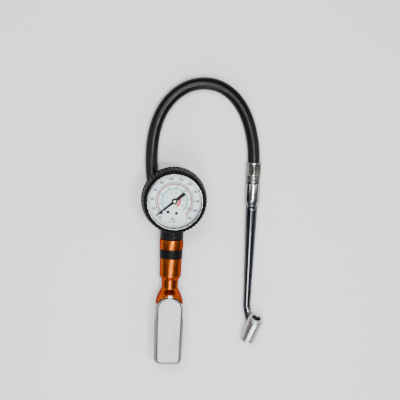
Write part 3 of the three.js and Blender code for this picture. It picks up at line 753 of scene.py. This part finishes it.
def make_inlet():
    at_bush = centre("inlet_bush")
    start = Vector((at_bush.x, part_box("inlet_bush")[0].y, at_bush.z))
    pitch, crest, root = 0.66, 5.8, 6.15
    threads = []
    for k in range(14):
        threads += [(crest, 1.2 + k * pitch), (root, 1.53 + k * pitch)]
    profile = [(6.6, 0), (8.6, 0), (9, 0.4), (9, 13.6), (3.6, 13.6), (3.6, 12), (crest, 11),
               *threads[::-1], (5.9, 0.7)]
    piece = turned("threaded_inlet_bush", profile, start, FORWARD, BRASS, 96)
    mount(piece, "brass", "inlet_bush")


make_body()
make_band()
make_inlet()


# ----------------------------------------------------------------- lever
LEVER_TILT = math.radians(4)
BEND_R = 2.6
RIM_FLARE = 1.3


def lever_outline(inset):
    """The plan outline moved in by inset, with the same number of points each time."""
    front, back = LEVER["arch"] - inset, LEVER["back"] - inset
    end = LEVER["end"] + inset
    corner = max(5 - inset, 0.4)
    points = arc_points(0, 0, front, 0, math.pi, 60)[:-1]
    sides = 70
    points += [(-mix(front, back, k / sides), mix(0, end + corner, k / sides)) for k in range(sides)]
    points += arc_points(-back + corner, end + corner, corner, math.pi, 1.5 * math.pi, 12)
    points += arc_points(back - corner, end + corner, corner, 1.5 * math.pi, 2 * math.pi, 12)
    points += [(mix(back, front, k / sides), mix(end + corner, 0, k / sides)) for k in range(1, sides)]
    return points


def lever_floor(y):
    """Height of the flange's lower edge at y from the pivot."""
    ear = smooth_step(y, -11, -3.6) * (1 - smooth_step(y, 2.4, 7.2))
    sides = mix(6.8, 6.0, smooth_step(y, -60, -20))
    nose = mix(sides, 10.3, smooth_step(y, 0, 8))
    return mix(nose, -4.6, ear)


def flange_point(inner, outward, y, share):
    """A point on the flange, from the bend at share 0 to the flared rim at share 1."""
    top = LEVER["top"] - BEND_R
    z = mix(top, lever_floor(y), share)
    rear = 1 - smooth_step(y, -14, -2)
    spread = rear * (0.35 * share + RIM_FLARE * smooth_step(share, 0.55, 1.0))
    return Vector((inner[0] + outward[0] * spread, inner[1] + outward[1] * spread, z))


def outward_of(points, i):
    before, after = points[i - 1], points[(i + 1) % len(points)]
    along = Vector((after[0] - before[0], after[1] - before[1])).normalized()
    return along.y, -along.x


def make_lever():
    edge = lever_outline(0)
    rings = []
    for inset in (9.5, 7.5, 6, 5, 4, 3.3):
        rings.append([Vector((x, y, LEVER["top"])) for x, y in lever_outline(inset)])
    for k in range(7):
        a = math.pi / 2 * k / 6
        inset = BEND_R * (1 - math.sin(a))
        z = LEVER["top"] - BEND_R * (1 - math.cos(a))
        rings.append([Vector((x, y, z)) for x, y in lever_outline(inset)])
    for k in range(1, 11):
        share = k / 10
        rings.append([flange_point(p, outward_of(edge, i), p[1], share) for i, p in enumerate(edge)])
    turn = Matrix.Rotation(-LEVER_TILT, 3, "X")
    placed = [[PIVOT + turn @ p * MM for p in ring] for ring in rings]
    piece = lever_sheet(placed)
    absorb(piece, make_tongue(turn))
    set_smooth(piece)
    mount(piece, "lever_chrome", "lever", body="press_lever")


def lever_sheet(rings):
    """An open pressed skin, thickened inwards."""
    count = len(rings[0])
    mesh = bpy.data.meshes.new("pressed_lever")
    faces = [tuple(range(count))]
    for k in range(len(rings) - 1):
        for i in range(count):
            j = (i + 1) % count
            faces.append((k * count + i, k * count + j, (k + 1) * count + j, (k + 1) * count + i))
    mesh.from_pydata([tuple(p) for ring in rings for p in ring], [], faces)
    piece = link("pressed_lever", mesh, SATIN)
    skin = bmesh.new()
    skin.from_mesh(mesh)
    bmesh.ops.recalc_face_normals(skin, faces=skin.faces)
    if sum(f.normal.z * f.calc_area() for f in skin.faces) < 0:
        bmesh.ops.reverse_faces(skin, faces=skin.faces)
    skin.to_mesh(mesh)
    skin.free()
    sheet = piece.modifiers.new("sheet", "SOLIDIFY")
    sheet.thickness = LEVER["sheet"] * MM
    sheet.offset = -1
    sheet.use_even_offset = True
    soften_edges(piece, 0.3, 3, 50)
    return freeze(piece)


def make_tongue(turn):
    front = LEVER["arch"]
    top = LEVER["top"]
    stations = [(front - 1.4, top - 0.45, 2.5), (front - 0.2, top - 0.15, 2.5),
                (front + 0.9, top - 0.1, 2.5), (front + LEVER["tongue"] - 0.5, top - 0.3, 2.4),
                (front + LEVER["tongue"], top - 0.55, 2.1)]
    rings = []
    for y, z, half in stations:
        corners = softened([(-half, z), (half, z), (half, z - 1.3), (-half, z - 1.3)], 0.4, 3, True)
        rings.append([PIVOT + turn @ Vector((x, y, h)) * MM for x, h in corners])
    return solid("tongue", rings, SATIN)


def make_pin():
    low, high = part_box("lever_pivot_pin")
    length = (high.x - low.x) / MM
    profile = softened([(0.01, 0), (1.5, 0), (2, 0.45), (2, length - 0.45), (1.5, length),
                        (0.01, length)], 0.3, 4)
    start = Vector((low.x, (low.y + high.y) / 2, (low.z + high.z) / 2))
    piece = turned("pivot_pin_domed", profile, start, Vector((1, 0, 0)), STEEL, 48, False)
    mount(piece, "steel", "lever_pivot_pin")


make_lever()
make_pin()


# ------------------------------------------------------------ head block
def tube_part(name, r, start, end, segments=64):
    length = (end - start).length / MM
    return turned(name, [(0.01, 0), (r, 0), (r, length), (0.01, length)], start, end - start, BLACK,
                  segments, False)


def make_head_block():
    collar = turned("collar", [(0.01, 0), (12, 0), (12.5, 0.5), (12.5, 11), (10, 14.5), (0.01, 14.5)],
                    at(0, RING["top"] + 0.3, AXIS_Z), FORWARD, BLACK, 96, False)
    boss = tube_part("boss", 9.2, on_boss(2), on_boss(BOSS_END))
    post = tube_part("post", 7.6, at(0, 0, 4), at(0, 0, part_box("head_block")[1].z / MM))
    web = prism("web", rectangle(-1.6, 7.4, -38, 0), 4.6, 21.4)
    spigot = tube_part("spigot_bore", SPIGOT["r"] + 0.2, along_body(-50),
                       along_body(SPIGOT["top"] + 0.3))
    screw_at = centre("head_lock_screw")
    tapped = tube_part("tapped_hole", 1.95, screw_at - UP * 7 * MM, screw_at + UP * 6 * MM)
    carve(collar, spigot, tapped)
    piece = melt("head_block_cast", [collar, boss, post, web], 0.35, 5, BLACK)
    mount(piece, "black_paint", "head_block")


def make_hose_nipple():
    """A hexagon with turned-down corners."""
    flats = 13
    corner = flats / math.sqrt(3)
    low, high = BOSS_END + 0.3, BOSS_END + 5
    height = high - low

    def six(angle, r, s):
        turn = (angle % (math.pi / 3)) - math.pi / 6
        return r if r < 1 else min(r, flats / 2 / math.cos(turn))
    profile = [(0.01, low), (flats / 2 - 0.1, low), (corner, low + 0.9),
               *[(corner, low + 0.9 + (height - 1.8) * k / 6) for k in range(1, 7)],
               (flats / 2 - 0.1, high), (0.01, high)]
    piece = turned("hose_nipple_hex", profile, BOSS_ROOT, HOSE_DIR, BRASS, 96, False, six)
    mount(piece, "brass", "hose_body_fitting")


def make_lock_screw():
    base, top = levels("head_lock_screw")
    length = top - base
    start = foot("head_lock_screw") + UP * base * MM
    profile = softened([(0.01, 0), (1.7, 0), (1.7, length), (1.0, length), (0.9, length - 1.4),
                        (0.01, length - 1.4)], 0.2, 3)
    piece = turned("lock_screw_socket", profile, start, UP, BLACK_OXIDE, 48, False)
    mount(piece, "steel", "head_lock_screw")


make_head_block()
make_hose_nipple()
make_lock_screw()


# ----------------------------------------------------------------- gauge
GAUGE_FOOT = foot("gauge_boot")
BOOT_RIBS = 52


def ribbed(angle, r, s):
    """Rounded ribs on the boot's side, fading out at the base and the lip."""
    if r < 31.3:
        return r
    band = smooth_step(s, 31.2, 32.6) * (1 - smooth_step(s, 52.4, 53.8))
    wave = 0.5 + 0.5 * math.cos(angle * BOOT_RIBS)
    return r - 1.4 * band * (1 - wave ** 0.6)


def make_boot():
    outer = [(24, 29.2), (33.6, 29.2), (34.8, 30.4), (34.6, 33), (34.4, 38), (33.9, 43.5),
             (33.4, 49), (32.6, 52.6), (31.4, 54.2), (29.4, 54.2), (29.4, 53.1), (30.9, 53.1),
             (30.9, 30.7), (24, 30.7)]
    profile = []
    soft = softened(outer, 0.9, 5, True)
    for a, b in zip(soft, soft[1:] + soft[:1]):
        steps = max(1, int((b - a).length / 0.6))
        profile += [a + (b - a) * k / steps for k in range(steps)]
    piece = turned("ribbed_boot", profile, GAUGE_FOOT, UP, BOOT, BOOT_RIBS * 12, True, ribbed)
    mount(piece, "boot_rubber", "gauge_boot")


def make_bezel():
    profile = softened([(27.4, 52.5), (28.95, 52.5), (28.95, 54.6), (28.5, 55), (27.9, 55),
                        (27.4, 54.3)], 0.3, 4, True)
    piece = turned("chrome_bezel", profile, GAUGE_FOOT, UP, CHROME, 192)
    mount(piece, "chrome", "bezel_ring")


def make_lens():
    low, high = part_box("gauge_lens")
    r = (high.x - low.x) / 2 / MM
    base, top = levels("gauge_lens")
    profile = softened([(0.01, base), (r, base), (r, top), (0.01, top)], 0.3, 4)
    piece = turned("clear_window", profile, GAUGE_FOOT, UP, LENS, 128, False)
    flatten_faces(piece)
    mount(piece, "lens_glass", "gauge_lens")


def make_dial():
    low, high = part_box("dial_plate")
    r = (high.x - low.x) / 2 / MM
    base, top = levels("dial_plate")
    profile = softened([(2, base), (r, base), (r, top), (2, top)], 0.2, 3, True)
    piece = turned("dial_disc", profile, GAUGE_FOOT, UP, DIAL, 160)
    holes = [tube_part("hole", 1.25, middle - UP * 5 * MM, middle + UP * 5 * MM, 32)
             for middle in (centre("dial_screw_left"), centre("dial_screw_right"))]
    carve(piece, *holes)
    flatten_faces(piece, 0.9)
    mount(piece, "dial_face", "dial_plate")
    return top


ZERO_ANGLE = math.radians(226)
SCALE_SWEEP = math.radians(274)
# How far the letters' outlines grow, as a share of their size
BOLD = 0.045


class Print:
    """Flat print on the dial, collected into one thin piece."""

    def __init__(self, name, ink, level):
        self.name, self.ink, self.level = name, ink, level
        self.points, self.faces = [], []

    def polygon(self, corners):
        start = len(self.points)
        self.points += [at(x, y, self.level) for x, y in corners]
        self.faces.append(tuple(range(start, len(self.points))))

    def arc(self, inner, outer, start=0.0, end=1.0, steps=120):
        for k in range(steps):
            a = scale_angle(mix(start, end, k / steps))
            b = scale_angle(mix(start, end, (k + 1) / steps))
            self.polygon([(r * math.cos(angle), r * math.sin(angle))
                          for r, angle in ((inner, b), (outer, b), (outer, a), (inner, a))])

    def tick(self, share, inner, outer, width):
        a = scale_angle(share)
        out = Vector((math.cos(a), math.sin(a)))
        side = Vector((-out.y, out.x)) * width / 2
        self.polygon([out * inner + side, out * inner - side, out * outer - side, out * outer + side])

    def text(self, words, x, y, size):
        curve = bpy.data.curves.new("words", "FONT")
        curve.body = words
        curve.size = size
        curve.align_x = "CENTER"
        curve.align_y = "CENTER"
        curve.resolution_u = 3
        curve.offset = size * BOLD
        holder = bpy.data.objects.new("words", curve)
        bpy.context.scene.collection.objects.link(holder)
        graph = bpy.context.evaluated_depsgraph_get()
        mesh = bpy.data.meshes.new_from_object(holder.evaluated_get(graph))
        start = len(self.points)
        self.points += [at(x + v.co.x, y + v.co.y, self.level) for v in mesh.vertices]
        self.faces += [tuple(start + i for i in face.vertices) for face in mesh.polygons]
        bpy.data.objects.remove(holder)
        bpy.data.meshes.remove(mesh)

    def number(self, value, share, r, size):
        a = scale_angle(share)
        self.text(str(value), r * math.cos(a), r * math.sin(a), size)

    def make(self):
        mesh = bpy.data.meshes.new(self.name)
        mesh.from_pydata([tuple(p) for p in self.points], [], self.faces)
        skin = bmesh.new()
        skin.from_mesh(mesh)
        bmesh.ops.remove_doubles(skin, verts=skin.verts, dist=1e-7)
        for face in skin.faces:
            if face.normal.z < 0:
                face.normal_flip()
        skin.to_mesh(mesh)
        skin.free()
        piece = link(self.name, mesh, self.ink)
        film = piece.modifiers.new("film", "SOLIDIFY")
        film.thickness = 0.03 * MM
        film.offset = 1
        freeze(piece)
        set_smooth(piece, False)
        mount(piece, "dial_face")


def scale_angle(share):
    return ZERO_ANGLE - SCALE_SWEEP * share


PSI_TOP = 220
BAR_PER_PSI = 0.0689476
BAR_TOP = PSI_TOP * BAR_PER_PSI


def print_outer_scale(level):
    black = Print("print_black", INK_BLACK, level)
    for value in range(20, PSI_TOP + 1, 20):
        black.number(value, value / PSI_TOP, 23.1, 3.5)
    black.arc(19.4, 20.0)
    for value in range(0, PSI_TOP + 1, 5):
        long = value % 20 == 0
        black.tick(value / PSI_TOP, 18.1 if long else 18.8, 19.9, 0.6 if long else 0.32)
    black.text("psi", -14.8, -16.6, 2.9)
    black.text("kPa", -1.4, -18.6, 2.9)
    black.text("x 100", -1.4, -21.6, 2.6)
    black.make()


def bar_marks(words, r, size, inner, short, long, width):
    """Numbers at radius r and ticks from inner to short, or to long at each second bar."""
    for value in range(2, 15, 2):
        words.number(value, value / BAR_TOP, r, size)
    for step in range(0, 151, 5):
        words.tick(step / 10 / BAR_TOP, inner, long if step % 20 == 0 else short, width)


def print_bar_scale(level):
    rose = Print("print_rose", INK_ROSE, level - 0.004)
    rose.arc(17.0, 18.3)
    rose.arc(18.75, 19.0)
    rose.make()
    maroon = Print("print_maroon", INK_MAROON, level + 0.004)
    bar_marks(maroon, 15.3, 3.1, 17.2, 18.3, 18.9, 0.34)
    maroon.text("bar", -13.6, -19.2, 2.2)
    maroon.make()


def print_inner_scale(level):
    teal = Print("print_teal", INK_TEAL, level)
    teal.arc(12.4, 13.9)
    teal.arc(10.95, 11.2)
    teal.make()
    green = Print("print_green", INK_GREEN, level + 0.004)
    bar_marks(green, 9.1, 2.5, 11.1, 12.2, 13.0, 0.26)
    green.make()


def print_red_zone(level):
    red = Print("print_red", INK_RED, level)
    red.arc(3.9, 6.9, 0.64, 1.07, 40)
    red.make()


def make_print(top):
    for print_part in (print_outer_scale, print_bar_scale, print_inner_scale, print_red_zone):
        print_part(top + 0.02)


def rest_angle():
    """Direction of the needle in the CAD, from its tip's corner of the box."""
    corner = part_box("needle")[0]
    return math.atan2(corner.y - GAUGE.y, corner.x - GAUGE.x) + 2 * math.pi


def make_needle():
    level = levels("needle")[0] + 0.4
    tip, tail, hub = 25.0, 13.4, 3.1
    half = [(tip, 0.3), (tip - 3, 0.6), (hub - 0.4, 1.3)]
    rear = [(-hub + 0.4, 1.4), (-tail + 2, 1.8), (-tail + 0.8, 1.6), (-tail + 0.15, 0.9)]
    upper = half + rear
    outline = upper + [(-tail, 0)] + [(x, -w) for x, w in reversed(upper)]
    turn = Matrix.Rotation(rest_angle(), 2)
    blade = slab("blade", [turn @ Vector(p) for p in outline], level, level + 0.7, NEEDLE, 0.12)
    freeze(blade)
    boss = turned("boss", softened([(1.1, level - 0.4), (hub, level - 0.4), (hub, level + 1.0),
                  (1.1, level + 1.0)], 0.25, 4, True), GAUGE_FOOT, UP, NEEDLE, 96)
    absorb(blade, boss)
    blade.name = "needle_pointer"
    mount(blade, "needle_black", "needle", body="needle_assembly")


def make_needle_cap():
    base, top = levels("needle_cap")
    profile = softened([(0.01, base), (1.6, base), (1.6, base + 0.3), (1.3, top - 0.1),
                        (0.01, top)], 0.15, 4)
    cap = turned("hub_cap", profile, GAUGE_FOOT, UP, PALE_BRASS, 64, False)
    mount(cap, "brass", "needle_cap", body="needle_assembly")


def make_dial_screws():
    for side in ("left", "right"):
        node = f"dial_screw_{side}"
        base, top = levels(node)
        profile = softened([(0.01, base), (0.9, base), (0.9, top - 0.8), (1.7, top - 0.8),
                            (1.45, top - 0.1), (0.01, top)], 0.15, 3)
        piece = turned(f"slotted_screw_{side}", profile, foot(node), UP, BLACK_OXIDE, 48, False)
        slot_at = foot(node) + UP * top * MM
        corners = rectangle(-2.2, 2.2, -0.22, 0.22)
        slot = solid("slot", [[slot_at + Vector((x * MM, y * MM, z * MM)) for x, y in corners]
                              for z in (-0.35, 0.6)], BLACK)
        slot.data.transform(Matrix.Translation(slot_at) @ Matrix.Rotation(0.6, 4, "Z")
                            @ Matrix.Translation(-slot_at))
        carve(piece, slot)
        mount(piece, "steel", node)


def make_stop_pin():
    base, top = levels("stop_pin")
    profile = softened([(0.01, base), (1.1, base), (1.1, base + 0.7), (0.8, base + 0.9),
                        (0.8, top - 0.2), (0.5, top), (0.01, top)], 0.15, 3)
    piece = turned("zero_stop_pin", profile, foot("stop_pin"), UP, BLACK_OXIDE, 40, False)
    mount(piece, "steel", "stop_pin")


make_boot()
make_bezel()
make_lens()
make_print(make_dial())
make_needle()
make_needle_cap()
make_dial_screws()
make_stop_pin()


# ----------------------------------------------------------------- chuck
CHUCK = {"collar": 25.2, "barrel": 17.5, "cone": -0.7, "stem": -6.3}
STEM = {"top": 6.3, "end": 3.95, "straight": -113}
HEAD_CENTRE = at(91.2, -140.8, 13.3)
HEAD_DIR = Vector((0.258, 0.89, 0.375)).normalized()
HEAD = {"r": 8.1, "half": 12.3, "cap": 2.9, "mouth": 4.8, "bore": 5.7, "wall": 3}


def along_chuck(y):
    return at(CHUCK_X, y, CHUCK_Z)


def chuck_turned(name, profile, material, slot, node):
    """A lathe piece on the chuck's axis; the profile is (radius, y)."""
    piece = turned(name, [(r, -y) for r, y in profile], along_chuck(0), DOWN_BODY, material)
    mount(piece, slot, node)


def make_chuck_line():
    collar, barrel = CHUCK["collar"], CHUCK["barrel"]
    chuck_turned("hose_collar", softened([
        (2, 9), (2, 38), (3.8, 38), (3.8, collar), (7.3, collar), (7.3, collar - 2.6),
        (6.9, collar - 3.0), (6.9, collar - 3.5), (7.3, collar - 3.9), (7.3, barrel + 0.3),
        (4.4, barrel + 0.3), (4.4, 9)], 0.4, 4, True), DARK_STEEL, "brass", "hose_chuck_fitting")
    chuck_turned("barrel_coned", softened([
        (2.4, CHUCK["stem"]), (STEM["top"] + 0.2, CHUCK["stem"]), (FERRULE_R, CHUCK["cone"]),
        (FERRULE_R, barrel), (4.7, barrel), (4.7, 8.5), (2.4, 8.5)], 0.6, 5, True),
        CHROME, "chrome", "chuck_barrel")


def make_stem():
    straight = STEM["straight"]
    top = CHUCK["stem"] - 0.3
    run = [along_chuck(mix(top, straight + 2, k / 24)) for k in range(25)]
    bend = curve_through([along_chuck(straight + 2), at(CHUCK_X, straight - 3, CHUCK_Z),
                          at(CHUCK_X + 0.9, straight - 9, CHUCK_Z + 0.6),
                          mix(at(CHUCK_X + 0.9, straight - 9, CHUCK_Z + 0.6), HEAD_CENTRE, 0.75)], 1.2)
    path = run + bend[1:]
    reach = sum((b - a).length for a, b in zip(run, run[1:]))
    travelled = [0.0]
    for a, b in zip(path, path[1:]):
        travelled.append(travelled[-1] + (b - a).length)

    def radius(share):
        t = min(1, travelled[round(share * (len(path) - 1))] / reach)
        return mix(STEM["top"], STEM["end"], t)
    piece = solid("tapered_stem", sweep(path, radius, 64), STEM_CHROME_PAINTED_SHADE)
    mount(piece, "chrome", "chuck_stem")


def make_chuck_head():
    r, half, cap, mouth = HEAD["r"], HEAD["half"], HEAD["cap"], HEAD["mouth"]
    bore, wall = HEAD["bore"], HEAD["wall"]
    outline = softened([(1.6, -wall), (1.6, wall), (bore, wall), (bore, half), (r, half),
                        (r, -half), (bore, -half), (bore, -wall)], 0.5, 5, True)
    shell = turned("dual_foot_head", outline, HEAD_CENTRE, HEAD_DIR, HEAD_CHROME, 128)
    mount(shell, "chrome", "chuck_head")
    for end, sign in (("upper_foot", 1), ("lower_foot", -1)):
        out = HEAD_DIR * sign
        profile = softened([(mouth, 10.6), (5.4, 10.6), (5.4, half + 0.3), (r, half + 0.3),
                            (r, half + cap - 1.0), (r - 1.0, half + cap), (mouth + 0.5, half + cap),
                            (mouth, half + cap - 0.6)], 0.35, 4, True)
        ring = turned(f"{end}_retaining_cap", profile, HEAD_CENTRE, out, HEAD_CHROME, 128)
        mount(ring, "chrome", f"{end}_cap")
        washer = softened([(2.6, 8.2), (5.4, 8.2), (5.4, 10.4), (3.4, 10.4), (2.6, 9.7)], 0.4, 4, True)
        seal = turned(f"{end}_rubber_seal", washer, HEAD_CENTRE, out, RUBBER, 96)
        mount(seal, "rubber", f"{end}_seal")


make_chuck_line()
make_stem()
make_chuck_head()


# --------------------------------------------------------------- springs
def make_spring(node, start, direction, coil):
    """A fixed coil spring along a direction, from its radius, wire, length and turns."""
    r, wire, length, turns = coil
    first, second = across(direction)
    steps = turns * 28
    path = []
    for k in range(steps + 1):
        t = k / steps
        angle = 2 * math.pi * turns * t
        rise = mix(wire, length - wire, mix(t, smooth_step(t, 0, 1), 0.35))
        path.append(start + (first * math.cos(angle) + second * math.sin(angle)) * r * MM
                    + direction * rise * MM)
    piece = solid(f"{node}_coil", sweep(path, lambda share: wire, 12), STEEL)
    mount(piece, "steel", node)
    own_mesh(piece)


def make_springs():
    start = foot("valve_spring") + UP * levels("valve_spring")[0] * MM
    make_spring("valve_spring", start, UP, (3.2, 0.4, 6, 5))
    for end, sign in (("upper", 1), ("lower", -1)):
        start = HEAD_CENTRE + HEAD_DIR * sign * 2.2 * MM
        make_spring(f"{end}_foot_depressor_spring", start, HEAD_DIR * sign, (2.4, 0.35, 3, 3))


make_springs()


# -------------------------------------------------- inner pieces kept as CAD
SLOT_FINISH = {
    "anodised_orange": ORANGE, "rubber": RUBBER, "boot_rubber": BOOT, "hose_rubber": HOSE,
    "brass": BRASS, "steel": STEEL, "lever_chrome": SATIN, "chrome": CHROME,
    "black_paint": BLACK, "dial_face": DIAL, "needle_black": NEEDLE, "lens_glass": LENS,
}
for part in frame["record"]["subparts"]:
    node = frame["nodes"][part["node"]]
    node.data.materials.clear()
    node.data.materials.append(SLOT_FINISH[part["material_slot"]])


# ----------------------------------------------------------------- stage
def make_floor():
    low, high = cad_box
    middle = (low + high) / 2
    half = 1.5
    points = [(middle.x + x * half, middle.y + y * half, -0.0001) for x, y in
              ((-1, -1), (1, -1), (1, 1), (-1, 1))]
    mesh = bpy.data.meshes.new("floor")
    mesh.from_pydata(points, [], [(0, 1, 2, 3)])
    floor = link("floor", mesh, floor_paint())


def softbox(name, place, target, width, height, power, tint=(1, 1, 1)):
    light = bpy.data.lights.new(name, "AREA")
    light.shape = "RECTANGLE"
    light.size = width
    light.size_y = height
    light.energy = power
    light.color = tint
    lamp = bpy.data.objects.new(name, light)
    bpy.context.scene.collection.objects.link(lamp)
    lamp.location = place
    lamp.rotation_mode = "QUATERNION"
    lamp.rotation_quaternion = (Vector(target) - Vector(place)).to_track_quat("-Z", "Y")


def make_light():
    middle = tuple((cad_box[0] + cad_box[1]) / 2)
    softbox("overhead", (-0.09, -0.34, 1.0), (-0.05, -0.2, 0), 0.36, 0.38, 5.5)
    softbox("streak", (0.185, 0.03, 1.0), (0.1, 0.05, 0), 0.13, 0.2, 6)
    softbox("top", (-0.2, 0.5, 1.1), middle, 0.6, 0.35, 11)
    softbox("front", (0.02, -0.95, 0.62), middle, 0.8, 0.3, 7)
    softbox("left", (-0.95, 0.15, 0.55), middle, 0.2, 0.8, 1.5)
    softbox("right", (0.95, 0.2, 0.7), middle, 0.2, 0.8, 2)
    world = bpy.data.worlds.new("studio")
    world.use_nodes = True
    sky = world.node_tree.nodes["Background"].inputs
    sky["Color"].default_value = (0.9, 0.95, 1.0, 1)
    sky["Strength"].default_value = 0.12
    bpy.context.scene.world = world


make_floor()
make_light()
